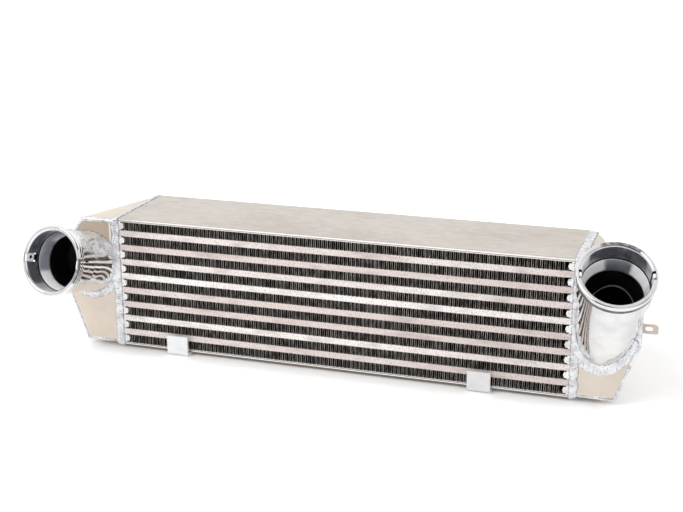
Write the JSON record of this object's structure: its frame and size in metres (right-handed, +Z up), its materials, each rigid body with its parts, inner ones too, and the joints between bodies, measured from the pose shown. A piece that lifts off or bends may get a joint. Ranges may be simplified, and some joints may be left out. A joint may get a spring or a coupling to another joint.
{
  "type": "intercooler",
  "caption": "Bar-and-plate air-to-air intercooler with welded wedge tanks, slanted pipes with clip collars, bottom brackets and a slotted side tab.",
  "frame": {"origin": "middle of the left bracket's foot, where the part is fastened and stands", "axes": "+X along the core to the slotted tab, +Y to the back, away from the pipes, +Z up"},
  "size_m": [0.6831, 0.1906, 0.1805],
  "materials": {
    "fin_foil": "thin rolled foil, matte, dark in its depth",
    "core_bar": "sawn and brazed bar, speckled matte",
    "side_plate": "rolled plate, satin",
    "tank_sheet": "folded sheet, fine matte",
    "weld_metal": "bright TIG weld, rippled",
    "drawn_tube": "drawn tube, polished",
    "turned_collar": "turned, polished",
    "bracket_strip": "bent strip, bright satin"
  },
  "bodies": {
    "root": {"ambient_fin_1": "fin_foil", "ambient_fin_2": "fin_foil", "ambient_fin_3": "fin_foil", "ambient_fin_4": "fin_foil", "ambient_fin_5": "fin_foil", "ambient_fin_6": "fin_foil", "ambient_fin_7": "fin_foil", "ambient_fin_8": "fin_foil", "ambient_fin_9": "fin_foil", "bottom_plate": "side_plate", "charge_fin_1": "fin_foil", "charge_fin_2": "fin_foil", "charge_fin_3": "fin_foil", "charge_fin_4": "fin_foil", "charge_fin_5": "fin_foil", "charge_fin_6": "fin_foil", "charge_fin_7": "fin_foil", "charge_fin_8": "fin_foil", "charge_tube_1": "core_bar", "charge_tube_2": "core_bar", "charge_tube_3": "core_bar", "charge_tube_4": "core_bar", "charge_tube_5": "core_bar", "charge_tube_6": "core_bar", "charge_tube_7": "core_bar", "charge_tube_8": "core_bar", "end_bar_left_1": "core_bar", "end_bar_left_2": "core_bar", "end_bar_left_3": "core_bar", "end_bar_left_4": "core_bar", "end_bar_left_5": "core_bar", "end_bar_left_6": "core_bar", "end_bar_left_7": "core_bar", "end_bar_left_8": "core_bar", "end_bar_left_9": "core_bar", "end_bar_right_1": "core_bar", "end_bar_right_2": "core_bar", "end_bar_right_3": "core_bar", "end_bar_right_4": "core_bar", "end_bar_right_5": "core_bar", "end_bar_right_6": "core_bar", "end_bar_right_7": "core_bar", "end_bar_right_8": "core_bar", "end_bar_right_9": "core_bar", "left_bracket": "bracket_strip", "left_collar": "turned_collar", "left_core_weld": "weld_metal", "left_pipe": "drawn_tube", "left_pipe_weld": "weld_metal", "left_tank_front": "tank_sheet", "left_tank_shell": "tank_sheet", "right_bracket": "bracket_strip", "right_collar": "turned_collar", "right_core_weld": "weld_metal", "right_pipe": "drawn_tube", "right_pipe_weld": "weld_metal", "right_tank_front": "tank_sheet", "right_tank_shell": "tank_sheet", "side_tab": "tank_sheet", "top_plate": "side_plate"}
  },
  "joints": []
}
